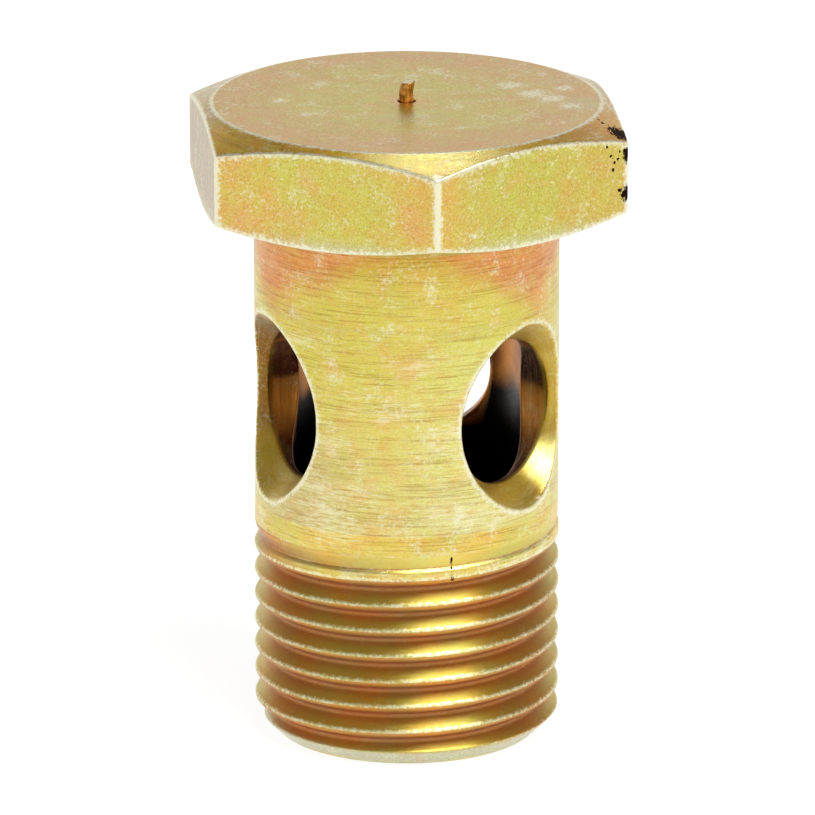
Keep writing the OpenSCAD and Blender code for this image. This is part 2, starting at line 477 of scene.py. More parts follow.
def mouth_tint(points):
    """Gold in the countersinks, rust at the upper left, and straw at the lower right, which is painted
    highlight.
    """
    azimuth = azimuth_of(points) % THIRD - PORT_AZIMUTHS[0]
    low = ramp(points[:, 2], -15.5, -17.5)
    tint = mix(SINK_GOLD, YELLOW, 0.2 + 0.5 * wobble(points, size=2, seed=11))
    tint = blend(tint, BORE_RUST, -azimuth, over=(6, 14), most=0.8 * (1 - low))
    # Painted highlight: paler straw at the lower right, where the key light's highlight falls
    return blend(tint, STRAW, azimuth, over=(8, 22), most=low)


def wall_tint(points):
    """Gold brown with purple bands above the middle and at the bottom."""
    up = (points[:, 2] - PORT_Z) / PORT_R + 0.12 * wobble(points, size=1.6, seed=12)
    band = ramp(up, 0.05, 0.15) * ramp(up, 0.7, 0.6)
    return blend(mix(BORE_BROWN, BORE_PURPLE, band), BORE_PURPLE, up, over=(-0.35, -0.9))


def bore_plating_and_shade(points):
    """Brown plating above the middle of the ports, and painted shade below it that turns the bore near black.
    """
    up = (points[:, 2] - PORT_Z) / PORT_R + 0.3 * wobble(points, size=3, seed=13)
    plating = mix(BORE_PURPLE, BORE_BROWN, 0.8 + wobble(points, size=2.2, seed=18))
    # Painted shade: near black below the middle of the ports
    return blend(BORE_PAINTED_SHADE, plating, up, over=(-0.3, 0.08))


# ---- the thread's surface


def whitworth(part):
    """Depth below the crest at a fraction of a pitch from it."""
    part = np.minimum(part, 1 - part)
    from_crest = part * PITCH
    from_root = PITCH / 2 - from_crest
    r = ROUND * PITCH
    edge = ROUND_EDGE * PITCH
    edge_depth = r * (1 - math.sin(FLANK))
    crest = r - np.sqrt(np.maximum(r * r - from_crest**2, 0))
    root = DEPTH - r + np.sqrt(np.maximum(r * r - from_root**2, 0))
    flank = edge_depth + (from_crest - edge) / math.tan(FLANK)
    return np.where(from_crest < edge, crest, np.where(from_root < edge, root, flank))


def soft_slope(t, softness):
    """From 0 to 1, curved near 0 and straight near 1."""
    full = math.sqrt(1 + softness**2) - softness
    return (np.sqrt(t**2 + softness**2) - softness) / full


# The shallow last groove: the end of its flat crest and its root, as parts of a pitch, its depth by turn
# angle, how soft its slopes are, and the turn angles over which its edge and the full form set in
RUNOUT_EDGE = 0.3
RUNOUT_ROOT = 0.43
RUNOUT_TURNS = (-230, -100, -40, 60, 200)
RUNOUT_DEPTHS = (DEPTH, 0.45, 0.27, 0.2, 0)
RISE_SOFTNESS = 0.15
FALL_SOFTNESS = 0.35
EDGE_TURNS = (-110, -50)
FULL_FORM_TURNS = (-160, -250)
# The crest sinks to the shank over these turn angles
CREST_TURNS = (310, 240)
# How softly the thread meets the end's chamfer
CONE_BLEND = 0.03


def thread_place(azimuth, height):
    """Turn angle from the camera's side of the first crest, and the part of a pitch above the crest."""
    turns = (height - CREST_Z) / PITCH - azimuth / 360
    whole = np.floor(turns)
    return azimuth + 360 * whole - CAMERA_AZIMUTH, turns - whole


def crest_radius(angle):
    return SHANK_R + (THREAD_R - SHANK_R) * ramp(angle, *CREST_TURNS)


def thread_radius(azimuth, height):
    """Radius of the thread, with its run-out and the end's chamfer."""
    angle, part = thread_place(azimuth, height)
    edge = RUNOUT_EDGE * ramp(angle, *EDGE_TURNS)
    rise = soft_slope(np.clip((part - edge) / (RUNOUT_ROOT - edge), 0, 1), RISE_SOFTNESS)
    fall = soft_slope(np.clip((1 - part) / (1 - RUNOUT_ROOT), 0, 1), FALL_SOFTNESS)
    shallow = np.interp(angle, RUNOUT_TURNS, RUNOUT_DEPTHS) * np.where(part < RUNOUT_ROOT, rise, fall)
    full = ramp(angle, *FULL_FORM_TURNS)
    depth = full * whitworth(part) + (1 - full) * shallow
    radius = crest_radius(angle) * (1 - part) + crest_radius(angle + 360) * part - depth
    cone = END_R + height - END_Z
    low = np.minimum(radius, cone)
    both = np.exp((low - radius) / CONE_BLEND) + np.exp((low - cone) / CONE_BLEND)
    return low - CONE_BLEND * np.log(both)


def thread_values(azimuth, height):
    """How bright the crest is, how far in the groove a point is, the run-out's slope, and the tint, which
    paints shade and a reflection into the grooves.
    """
    angle, part = thread_place(azimuth, height)
    near = np.minimum(part, 1 - part) * PITCH
    lower = part < 0.5
    exists = np.where(lower, ramp(angle, *CREST_TURNS), ramp(angle, -50, -120))
    bright = np.where(lower, 0.95 * ramp(part * PITCH, 0.42, 0.12), bell(near, 0.07))
    flat = ramp(angle, -30, 20) * ramp(angle, 200, 120) * (part < RUNOUT_ROOT - 0.02)
    crest = np.maximum(bright * exists, 0.6 * flat)
    grooved = ramp(angle, 0, -80)
    # Painted shade: gold near the crest, browner bronze towards the root
    flank = blend(DARK_GOLD, BRONZE, part, over=(0.2, 0.4))
    # Red brown towards the sides as the camera sees them: partly the plating's colour, partly painted shade
    flank = blend(flank, SIDE_BROWN_AND_SHADE, third_turn(azimuth), over=(0.45, 0.95), most=0.6)
    # Painted shade: russet in the root
    flank = blend(flank, RUSSET, part, over=(0.4, 0.52), most=ramp(part, 0.74, 0.62))
    # Painted reflection: an orange band on the flank just below each crest
    flank = blend(flank, ORANGE, part, over=(0.74, 0.86), most=0.5 * ramp(part, 0.97, 0.92))
    seen = ramp(angle, -120, -80) * ramp(angle, 190, 110)
    # Painted shade: a thin russet line along the run-out groove's root
    run_out_root_shade = bell(part - RUNOUT_ROOT, 0.03) * seen
    tint = mix(mix(mix(LIME, STRAW, 0.5), flank, grooved), RUSSET, run_out_root_shade * (1 - grooved))
    slope = seen * ramp(part, RUNOUT_ROOT, RUNOUT_ROOT + 0.05) * ramp(part, 1.0, 0.8)
    return crest, grooved, slope, tint


# Where the rows lie above a crest, as parts of a pitch
CREST_PARTS = (0, 0.03, 0.06, 0.09, 0.122)
FLANK_PARTS = (0.17, 0.22, 0.27, 0.32)
ROOT_PARTS = (0.378, 0.41, 0.44, 0.47)
# A row this close to a ring is taken into it
RING_SNAP = 0.006
# How deep the crests are worn, and where the worn end starts below the seat
CREST_WEAR = 0.012
END_BAND = (36.2, 36.6)


def pitch_parts():
    """Parts of a pitch at which the rows lie, alike above and below a crest."""
    half = CREST_PARTS + FLANK_PARTS + ROOT_PARTS
    return sorted(set(half) | {0.5} | {round(1 - p, 4) for p in half if p > 0})


def add_thread_points(skin, azimuths, heights):
    """Adds the thread's vertices and returns their numbers."""
    turn = np.radians(azimuths)
    radii = thread_radius(azimuths, heights)
    crest, grooved, slope, tint = thread_values(azimuths, heights)
    worn = wobble(turned_points(radii, turn, heights), size=0.5, seed=8)
    radii = radii - CREST_WEAR * crest * np.maximum(worn, 0)
    points = turned_points(radii, turn, heights)
    tint = mix(tint, tint * THREAD_BLOTCH, 0.5 + wobble(points, size=2.5, seed=17))
    band = ramp(-heights, *END_BAND)
    values = {
        "wear": 0.4 * band,
        "crest": crest * (1 - band),
        "lay": -heights,
        "turned": 1 - np.maximum(grooved, 0.9 * slope),
        "rolled": np.maximum(grooved, slope) * (1 - band),
    }
    return skin.add(points, mix(tint, GREY_ZINC, band), **values)


def thread_zone(skin, top_ring, bottom_ring):
    """Rows that follow the helix and end where they meet either ring."""
    parts = pitch_parts()
    first = math.floor((THREAD_BOTTOM - CREST_Z) / PITCH) - 1
    last = math.ceil((PORT_BOTTOM - CREST_Z) / PITCH) + 1
    offsets = [turn + part for turn in range(first, last) for part in parts]
    rows = len(offsets)
    heights = CREST_Z + PITCH * (np.array(offsets) + AZ[:, None] / 360)
    number = np.where(heights > PORT_BOTTOM - RING_SNAP, np.array(top_ring)[:, None], -1)
    number = np.where(heights < THREAD_BOTTOM + RING_SNAP, np.array(bottom_ring)[:, None], number)
    free = number < 0
    azimuths = np.broadcast_to(AZ[:, None], heights.shape)
    number[free] = add_thread_points(skin, azimuths[free], heights[free])

    def vertex(j, k):
        if j == COUNT:
            j, k = 0, k + len(parts)
        return top_ring[j] if k >= rows else number[j, k]

    for j in range(COUNT):
        for k in range(rows - 1):
            skin.face(vertex(j, k), vertex(j, k + 1), vertex(j + 1, k + 1), vertex(j + 1, k))


# ---- the ports


# Roundings of the countersink's rim and of its inner edges
MOUTH_ROUND = 0.16
INNER_ROUND = 0.12
# Passes that settle the rim's radius
RIM_PASSES = 30


def window_columns(port):
    """Numbers of the columns across a port's window."""
    low = int(np.argmin(np.abs(AZ - (port - PORT_SPAN))))
    high = int(np.argmin(np.abs(AZ - (port + PORT_SPAN) % 360)))
    if high <= low:
        high += COUNT
    return [c % COUNT for c in range(low, high + 1)]


def window_rows(skin, upper, lower, top, bottom, radius, tint_of, **values):
    """Lays the rows beside the ports, and returns each port's outline as a loop."""
    heights = np.linspace(top, bottom, PORT_ROWS + 1)
    windows = [window_columns(port) for port in PORT_AZIMUTHS]
    inside = {c for window in windows for c in window[1:-1]}
    starts = {window[0] for window in windows}
    kept = [c for c in range(COUNT) if c not in inside]
    rows = [dict(enumerate(upper))]
    for height in heights[1:-1]:
        points = ring_points(radius, height)[kept]
        numbers = skin.add(points, tint_of(points), lay=-height, **values)
        rows.append(dict(zip(kept, numbers)))
    rows.append(dict(enumerate(lower)))
    for above, below in zip(rows, rows[1:]):
        for c in kept:
            d = (c + 1) % COUNT
            if d not in inside and c not in starts:
                skin.face(above[c], above[d], below[d], below[c])
    outlines = []
    for window in windows:
        loop = [rows[0][c] for c in window]
        loop += [row[window[-1]] for row in rows[1:-1]]
        loop += [rows[-1][c] for c in reversed(window)]
        loop += [row[window[0]] for row in reversed(rows[1:-1])]
        outlines.append(loop)
    return outlines


def mouth_radius(theta):
    """Radius of the rim, where the countersink's cone meets the shank."""
    reach = np.full(len(theta), PORT_R + SINK_WIDTH)
    for _ in range(RIM_PASSES):
        depth = np.sqrt(SHANK_R**2 - (reach * np.cos(theta)) ** 2)
        reach = PORT_R + (depth - PORT_FLOOR) * SINK_WIDTH / SINK_DEPTH
    return reach


def between(a, b, reach):
    """Points a fixed distance from a towards b."""
    way = b - a
    return a + way * (reach / np.linalg.norm(way, axis=1))[:, None]


def window_place(skin, loop, angle):
    """Turn of each vertex of a loop from a port's axis, and its height above the axis."""
    points = np.array([skin.points[i] for i in loop])
    turn = np.arctan2(points[:, 0], -points[:, 1]) - angle
    return np.stack([(turn + math.pi) % (2 * math.pi) - math.pi, points[:, 2] - PORT_Z])


def port_place(theta, reach, radius):
    """The same for places on a cylinder, at a reach from the port's axis."""
    return np.stack([np.arcsin(reach * np.cos(theta) / radius), reach * np.sin(theta)])


def glide(a, b, share):
    return a * (1 - share) + b * share


def add_port(skin, port, outer, inner):
    """The countersink and the drilled wall, from the shank's window to the bore's."""
    angle = math.radians(port)
    window, bore_window = window_place(skin, outer, angle), window_place(skin, inner, angle)
    theta = np.arctan2(window[1], SHANK_R * window[0])
    floor_r = np.hypot(PORT_FLOOR, PORT_R * np.cos(theta))
    rim = port_place(theta, mouth_radius(theta), SHANK_R)
    drilled = port_place(theta, PORT_R, BORE_R)

    def at(radius, place):
        return turned_points(radius, angle + place[0], PORT_Z + place[1])

    edge, bore = at(SHANK_R, rim), at(BORE_R, drilled)
    floor = at(floor_r, port_place(theta, PORT_R, floor_r))
    above = outer

    def loop(points, tint, **values):
        nonlocal above
        below = skin.add(points, tint, **values)
        skin.bridge(above, below)
        above = below

    gap = np.hypot(SHANK_R * (window[0] - rim[0]), window[1] - rim[1])
    rounding = MOUTH_ROUND * (1 + 0.5 * wobble(edge, size=1.2, seed=9 + port))
    last = 1 - rounding / gap
    for share in (0.25, 0.5, 0.7, 0.85, 0.95):
        points = at(SHANK_R, glide(window, rim, share * last))
        wear = bell(gap * (1 - share * last), 0.55)
        loop(points, shank_tint(points), wear=wear, lay=-points[:, 2], turned=1)
    rim_start = at(SHANK_R, glide(window, rim, last))
    sink_start = between(edge, floor, rounding)
    for t in (0, 0.25, 0.5, 0.75, 1):
        points = bezier(rim_start, edge, sink_start, t)
        tint = mix(shank_tint(points), mouth_tint(points), t)
        loop(points, tint, wear=1 - 0.6 * t, lay=-points[:, 2], turned=1 - 0.5 * t)
    sink_end = between(floor, edge, INNER_ROUND)
    wall_start = between(floor, bore, INNER_ROUND)
    for t in (0.1, 0.3, 0.5, 0.7, 0.9):
        points = glide(sink_start, sink_end, t)
        loop(points, mouth_tint(points), wear=0.3 * (1 - t) ** 3, lay=6 * t, turned=0.5, rolled=0.7)
    for t in (0, 0.33, 0.67, 1):
        points = bezier(sink_end, floor, wall_start, t)
        values = {"wear": 0.3, "lay": 6 + 0.3 * t, "turned": 0.5, "inner": 0.2 * t, "rolled": 0.7}
        loop(points, mouth_tint(points), **values)
    wall_end = between(bore, floor, INNER_ROUND)
    for t in (0.2, 0.5, 0.8):
        points = glide(wall_start, wall_end, t)
        loop(points, wall_tint(points), inner=0.2, lay=6.3 + 3 * t, turned=1, rolled=0.7)
    bore_start = at(BORE_R, glide(drilled, bore_window, INNER_ROUND))
    for t in (0, 0.5, 1):
        points = bezier(wall_end, bore, bore_start, t)
        loop(points, wall_tint(points), inner=0.2 + 0.8 * t, lay=9.3, turned=1, rolled=0.7)
    for share in (0.4, 0.7):
        points = at(BORE_R, glide(drilled, bore_window, share))
        loop(points, bore_plating_and_shade(points), inner=1, lay=-points[:, 2], turned=1)
    skin.bridge(above, inner)


# ---- the whole body


# The outside's segments, from the vent hole to the ports: steps, tint, how much it shows turning lines,
# and how wide its edges are worn
OUTSIDE = (
    (22, top_tint, 0.3, 0.2),
    (5, chamfer_tint, 0.7, 0.3),
    (12, side_tint, 0, 0.48),
    (3, side_tint, 0.3, 0.4),
    (5, shank_tint, 0.6, 0.1),
    (14, shank_tint, 1, 0.0001),
)
TOP, CHAMFER, SIDE, LOW_CHAMFER = range(4)
# Scuffed places on the top: azimuth, radius from the axis, and size
TOP_SCUFFS = (
    (112.5, 8.2, 1.2), (94.4, 8.7, 1.4), (86, 9.9, 1.3), (76, 11.1, 1.1), (100, 11.2, 1.0), (-98, 8.6, 0.9),
    (-70, 7.4, 0.8), (20, 7.6, 0.5),
)
SCUFF_SPREAD = 1.15
# Radii over which the chamfer's tips are whitened, partly as wear and partly as painted highlight, and its
# rubbed stretch: azimuth and width
TIP_RADII = (15.0, 15.8)
RUBBED = (92, 16)
# Turning lines are counted from above the head
LAY_START = 20
# The end's segments before the bore, its chamfer into the bore, and how far up that is worn
END_SEGMENTS = 3
BORE_CHAMFER = 0.3
WORN_BORE = 2
# The vent hole's wall stops this far below the top
VENT_EDGE = 0.08


def outside_profile():
    """From the vent hole over the head and down the shank to the ports."""
    uneven = 1 + 0.35 * wobble(ring_points(HALF_AF, 6), size=1.3, seed=14)
    side = hexagon_radius()
    chamfer_top = HEAD_H - (side - TOP_FLAT_R) * CHAMFER_SLOPE
    chamfer_low = (side - SEAT_R) * CHAMFER_SLOPE
    corners = [
        (VENT_R, HEAD_H), (TOP_FLAT_R, HEAD_H), (side, chamfer_top), (side, chamfer_low),
        (SEAT_R, 0), (SHANK_R, 0), (SHANK_R, PORT_TOP),
    ]
    rounds = [0, 0.16 * uneven, 0.2 * uneven, 0.2 * uneven, 0.1, 0.3, 0]
    return profile(corners, rounds, [segment[0] for segment in OUTSIDE])


def outside_look(points, near, segment):
    """Tint, worn edges, corners and scuffs, and the turning lines."""
    _, tint_of, turned, width = OUTSIDE[segment]
    radius = np.hypot(points[:, 0], points[:, 1])
    wear = bell(near, width)
    if segment in (SIDE, LOW_CHAMFER):
        wear = np.maximum(wear, 1.3 * bell(CORNER_GAP, 0.32))
    if segment == CHAMFER:
        # Whitish tips at every other corner: partly wear, partly a painted highlight at the front tip
        tip_wear_and_highlight = bell(CORNER_GAP, 0.5) * ramp(radius, *TIP_RADII)
        wear = np.maximum(wear, 1.2 * tip_wear_and_highlight * (off(AZ, THIRD) < THIRD / 4))
        wear = np.maximum(wear, 0.6 * bell(AZ - RUBBED[0], RUBBED[1]))
    if segment == TOP:
        for azimuth, reach, size in TOP_SCUFFS:
            turn = math.radians(azimuth)
            centre = (reach * math.sin(turn), -reach * math.cos(turn), HEAD_H)
            away = np.linalg.norm(points - centre, axis=1)
            wear = np.maximum(wear, bell(away, SCUFF_SPREAD * size))
    lay = radius if segment == TOP else LAY_START - points[:, 2]
    return tint_of(points), {"wear": wear, "lay": lay, "turned": turned}


def end_profile():
    """The end's chamfer and face, and up the bore to the ports."""
    corners = [
        (END_R + THREAD_BOTTOM - END_Z, THREAD_BOTTOM), (END_R, END_Z),
        (BORE_R + BORE_CHAMFER, END_Z), (BORE_R, END_Z + BORE_CHAMFER), (BORE_R, BORE_PORT_BOTTOM),
    ]
    return profile(corners, [0, 0.06, 0.05, 0.05, 0], [3, 4, 3, 20], arc_steps=3)


def end_look(points, near, segment):
    """Worn zinc with straw patches on the end, then the bore's colours."""
    values = {"wear": 0.45, "lay": -points[:, 2], "turned": 0.5}
    if segment < END_SEGMENTS:
        return mix(STRAW, GREY_ZINC, 0.6 + wobble(points, size=2, seed=15)), values
    return bore_plating_and_shade(points), {**values, "inner": ramp(points[:, 2], END_Z, END_Z + WORN_BORE)}


def inside_profile():
    """Up the bore from the ports, through the chamber to the vent hole."""
    corners = [
        (BORE_R, BORE_PORT_TOP), (BORE_R, GROOVE_BOTTOM), (GROOVE_R, GROOVE_BOTTOM),
        (GROOVE_R, GROOVE_TOP), (BORE_R, GROOVE_TOP), (BORE_R, CHAMBER_FLOOR),
        (CHAMBER_R, CHAMBER_FLOOR), (CHAMBER_R, CHAMBER_TOP), (SEAT_RING_R, CHAMBER_TOP),
        (SEAT_RING_R, SEAT_RING_Z), (SEAT_HOLE_R, SEAT_RING_Z), (SEAT_HOLE_R, CHAMBER_TOP),
        (VENT_R, CHAMBER_TOP), (VENT_R, HEAD_H - VENT_EDGE),
    ]
    rounds = [0] + [0.04] * (len(corners) - 2) + [0]
    return profile(corners, rounds, [1, 2, 2, 2, 2, 2, 8, 4, 1, 2, 1, 1, 6], arc_steps=2)


def inside_look(points, near, segment):
    return bore_plating_and_shade(points), {"inner": 1, "lay": -points[:, 2], "turned": 1}


def body_skin():
    """The whole body as one closed surface."""
    skin = Skin()
    bore = {"inner": 1, "turned": 1}
    first, last = add_rows(skin, outside_profile(), None, outside_look)
    bottom = skin.ring(SHANK_R, PORT_BOTTOM, shank_tint, lay=-PORT_BOTTOM, turned=1)
    outlines = window_rows(skin, last, bottom, PORT_TOP, PORT_BOTTOM, SHANK_R, shank_tint, turned=1)
    end_first, end_last = add_rows(skin, end_profile(), None, end_look)
    thread_zone(skin, bottom, end_first)
    bore_top = skin.ring(BORE_R, BORE_PORT_TOP, bore_plating_and_shade, **bore)
    inner = window_rows(skin, bore_top, end_last, BORE_PORT_TOP, BORE_PORT_BOTTOM, BORE_R, bore_plating_and_shade, **bore)
    for port, outline, inner_outline in zip(PORT_AZIMUTHS, outlines, inner):
        add_port(skin, port, outline, inner_outline)
    _, inside_last = add_rows(skin, inside_profile()[1:], bore_top, inside_look)
    skin.bridge(inside_last, first)
    return skin


# ---- materials


SHADER = "Principled BSDF"


class Graph:
    """The nodes of a material or of the world, by short names."""

    def __init__(self, owner):
        owner.use_nodes = True
        self.owner = owner
        self.tree = owner.node_tree

    def finish(self, name, inputs):
        """Sets the sockets of a named node, and returns the material or the world."""
        for key, value in inputs.items():
            self.set(self.tree.nodes[name].inputs[key], value)
        return self.owner

    def node(self, kind, **inputs):
        node = self.tree.nodes.new("ShaderNode" + kind)
        for key, value in inputs.items():
            self.set(node.inputs[key], value)
        return node

    def set(self, socket, value):
        if isinstance(value, bpy.types.NodeSocket):
            self.tree.links.new(value, socket)
        else:
            socket.default_value = value

    def attribute(self, name, output="Fac"):
        node = self.node("Attribute")
        node.attribute_name = name
        return node.outputs[output]

    def math(self, kind, *values):
        node = self.node("Math")
        node.operation = kind
        for socket, value in zip(node.inputs, values):
            self.set(socket, value)
        return node.outputs[0]

    def plus(self, a, b):
        return self.math("ADD", a, b)

    def times(self, a, b):
        return self.math("MULTIPLY", a, b)

    def rest(self, value):
        """What is left of 1."""
        return self.math("SUBTRACT", 1.0, value)

    def signed(self, value, scale):
        """Noise made to run either side of 0."""
        return self.times(self.math("SUBTRACT", value, 0.5), scale)

    def vector_math(self, kind, vector):
        node = self.node("VectorMath")
        node.operation = kind
        self.set(node.inputs[0], vector)
        return node

    def ramp(self, value, start, end):
        """0 up to start and 1 from end on."""
        node = self.node("MapRange")
        node.interpolation_type = "SMOOTHSTEP"
        for key, item in (("Value", value), ("From Min", start), ("From Max", end)):
            self.set(node.inputs[key], item)
        return node.outputs[0]

    def position(self):
        """The point in millimetres, in the object's own frame."""
        coordinates = self.node("TexCoord")
        scale = self.vector_math("SCALE", coordinates.outputs["Object"])
        scale.inputs["Scale"].default_value = 1 / MM
        return scale.outputs[0]

    def split(self, vector):
        return tuple(self.node("SeparateXYZ", Vector=vector).outputs)

    def join(self, x, y, z):
        node = self.node("CombineXYZ")
        for socket, value in zip(node.inputs, (x, y, z)):
            self.set(socket, value)
        return node.outputs[0]

    def noise(self, vector, size, detail, rough):
        """Noise with features of about the given size."""
        node = self.node("TexNoise", Vector=vector, Scale=1 / size, Detail=detail, Roughness=rough)
        return node.outputs[0]

    def mix(self, a, b, share, kind="MIX"):
        node = self.node("Mix")
        node.data_type = "RGBA"
        node.blend_type = kind
        self.set(node.inputs[0], share)
        for socket, value in ((node.inputs[6], a), (node.inputs[7], b)):
            if isinstance(value, np.ndarray):
                value = (*value, 1)
            self.set(socket, value)
        return node.outputs[2]

    def layer(self, under, colour, share, within, most, kind="MIX"):
        """Lays a colour over another by a share, up to most, within a mask."""
        return self.mix(under, colour, self.times(share, self.times(within, most)), kind)

    def bump(self, height, distance, strength, normal=None):
        node = self.node("Bump", Height=height, Strength=strength, Distance=distance * MM)
        if normal is not None:
            self.set(node.inputs["Normal"], normal)
        return node.outputs[0]


# Chips at one worn corner and a nick above the thread: azimuth, height, size, and stretch along the axis
CHIPS = (
    (62.2, 6.15, 0.95, 1), (59.5, 4.95, 0.36, 1.6), (59.6, 2.3, 0.5, 1.2), (54.0, 5.8, 0.12, 1),
    (57.2, 4.8, 0.12, 1), (55.8, 4.1, 0.13, 1), (56.2, 4.6, 0.1, 1), (55.2, 5.1, 0.1, 1),
    (57.6, 5.3, 0.1, 1), (63.3, 6.7, 0.16, 1), (64.4, 6.86, 0.13, 1), (57.6, 2.6, 0.14, 1),
    (9.7, -23.0, 0.1, 7), (9.9, -23.8, 0.15, 2),
)
# How far the nick's centre lies under the shank's surface
NICK_DEPTH = 0.08
# How uneven a chip's edge is, and where it is full, as shares of its size
CHIP_RAGGED = 2.2
CHIP_CORE = 0.75


def surface_radius(azimuth, height):
    """Radius of the outside at a chip or at the nick."""
    if height < 0:
        return SHANK_R - NICK_DEPTH
    face = HALF_AF / math.cos(math.radians(azimuth % SIXTH - SIXTH / 2))
    return min(face, TOP_FLAT_R + (HEAD_H - height) / CHAMFER_SLOPE)


def chips(g, place):
    """1 inside the dark chips and the nick, with ragged edges."""
    ragged = g.noise(place, size=0.22, detail=3.0, rough=0.7)
    total = None
    for azimuth, height, size, stretch in CHIPS:
        turn = math.radians(azimuth)
        radius = surface_radius(azimuth, height)
        squeeze = g.vector_math("MULTIPLY", place)
        squeeze.inputs[1].default_value = (1, 1, 1 / stretch)
        away = g.vector_math("DISTANCE", squeeze.outputs[0])
        away.inputs[1].default_value = (radius * math.sin(turn), -radius * math.cos(turn), height / stretch)
        uneven = g.plus(away.outputs["Value"], g.signed(ragged, CHIP_RAGGED * size))
        spot = g.ramp(uneven, size, size * CHIP_CORE)
        total = spot if total is None else g.math("MAXIMUM", total, spot)
    return total


def body_noises(g, place, lay):
    """The plating's noises. Those along the lay are drawn out round the axis."""
    x, y, z = g.split(place)
    reach = g.math("SQRT", g.plus(g.times(x, x), g.times(y, y)))
    east, south = g.math("DIVIDE", x, reach), g.math("DIVIDE", y, reach)

    def along_lay(spread, fine, detail, rough):
        place_along = g.join(g.times(east, spread), g.times(south, spread), g.times(lay, fine))
        return g.noise(place_along, size=1.0, detail=detail, rough=rough)

    return {
        "lines": along_lay(spread=2.6, fine=8.0, detail=5.0, rough=0.75),
        "streaks": along_lay(spread=11.0, fine=12.0, detail=4.0, rough=0.7),
        "gather": along_lay(spread=2.0, fine=0.5, detail=3.0, rough=0.6),
        "speck": g.noise(place, size=0.13, detail=2.0, rough=0.6),
        "flecks": g.noise(g.join(y, z, x), size=0.22, detail=3.0, rough=0.65),
        "grain": g.noise(place, size=0.35, detail=4.0, rough=0.7),
        "patch": g.noise(place, size=1.3, detail=4.0, rough=0.6),
        "cloud": g.noise(g.join(z, x, y), size=1.9, detail=5.0, rough=0.65),
        "pale_low": g.plus(g.ramp(z, -3.0, -10.0), 0.3),
    }


def body_colour(g, found, masks, chip):
    """The tint under patches, specks, lines, scratches, worn edges and chips."""
    open_face, grainy, lined, outside = masks
    lines, flecks, patch = found["lines"], found["flecks"], found["patch"]
    colour = g.attribute("tint", "Color")
    colour = g.layer(colour, ORANGE, g.ramp(patch, 0.44, 0.74), within=open_face, most=0.4)
    colour = g.layer(colour, LIME, g.ramp(patch, 0.54, 0.3), within=open_face, most=0.35)
    dark_specks = g.ramp(found["speck"], 0.4, 0.8)
    colour = g.layer(colour, SPECK_COLOUR, dark_specks, within=grainy, most=0.45, kind="MULTIPLY")
    colour = g.layer(colour, SCRATCH_COLOUR, g.ramp(flecks, 0.48, 0.85), within=grainy, most=0.5)
    dark_lines = g.ramp(lines, 0.53, 0.34)
    colour = g.layer(colour, SPECK_COLOUR, dark_lines, within=lined, most=0.5, kind="MULTIPLY")
    scratches = g.ramp(g.plus(found["streaks"], g.signed(found["gather"], 0.8)), 0.52, 0.7)
    scratches = g.times(scratches, found["pale_low"])
    colour = g.layer(colour, SCRATCH_COLOUR, scratches, within=lined, most=0.38)
    scuffs = g.ramp(g.plus(found["cloud"], g.signed(flecks, 0.7)), 0.53, 0.85)
    colour = g.layer(colour, WORN_COLOUR, scuffs, within=open_face, most=0.7)
    ragged = g.plus(g.signed(found["grain"], 1.4), g.signed(flecks, 1.3))
    # The wear attribute also carries the chamfer tips' whitening, which is partly painted highlight
    worn = g.ramp(g.plus(g.attribute("wear"), ragged), 0.5, 1.1)
    colour = g.layer(colour, WORN_COLOUR, worn, within=outside, most=0.85)
    bright = g.ramp(g.plus(g.attribute("crest"), ragged), 0.6, 1.2)
    colour = g.mix(colour, SCRATCH_COLOUR, g.times(bright, 0.8))
    return g.mix(colour, CHIP_COLOUR, chip)


def body_material():
    """Yellow chromate on turned steel, its highlights drawn out along the axis on the thread."""
    g = Graph(bpy.data.materials.new("yellow_chromate"))
    place = g.position()
    turned, rolled = g.attribute("turned"), g.attribute("rolled")
    outside = g.rest(g.attribute("inner"))
    open_face = g.times(outside, g.rest(g.times(rolled, 0.85)))
    grainy = g.times(open_face, g.rest(g.times(turned, 0.45)))
    lined = g.times(turned, outside)
    found = body_noises(g, place, g.attribute("lay"))
    chip = chips(g, place)
    colour = body_colour(g, found, (open_face, grainy, lined, outside), chip)
    rough = g.plus(0.33, g.signed(found["grain"], 0.35))
    around_axis = g.node("Tangent")
    around_axis.direction_type = "RADIAL"
    around_axis.axis = "Z"
    fine = g.bump(g.times(found["lines"], turned), distance=0.04, strength=0.45)
    rugged = g.bump(g.times(found["speck"], open_face), distance=0.02, strength=0.5, normal=fine)
    return g.finish(SHADER, {
        "Base Color": colour,
        "Metallic": 1.0,
        "Roughness": g.plus(rough, g.plus(g.times(rolled, 0.09), g.times(chip, 0.45))),
        "Tangent": around_axis.outputs[0],
        "Anisotropic Rotation": 0.25,
        "Anisotropic": g.times(rolled, 0.9),
        "Normal": g.bump(g.times(chip, -1.0), distance=0.15, strength=1.0, normal=rugged),
    })


def plain_material(name, colour, dark, size, metallic, rough):
    """A mottled material: two tones, uneven gloss and a fine grain."""
    g = Graph(bpy.data.materials.new(name))
    place = g.position()
    mottle = g.noise(place, size=size, detail=4.0, rough=0.6)
    grain = g.noise(place, size=size / 6, detail=3.0, rough=0.6)
    return g.finish(SHADER, {
        "Base Color": g.mix(dark, colour, g.ramp(mottle, 0.3, 0.65)),
        "Roughness": g.plus(rough, g.signed(grain, 0.25)),
        "Metallic": metallic,
        "Normal": g.bump(grain, distance=0.01, strength=0.6),
    })


BRONZE_DARK = srgb(140, 92, 40)
BRONZE_LIGHT = srgb(206, 148, 76)
DRAWN_DARK = srgb(58, 36, 14)
CUT_END = srgb(214, 208, 170)
# Drawing lines are this much finer across the wire than along it
DRAWN_FINE = 6


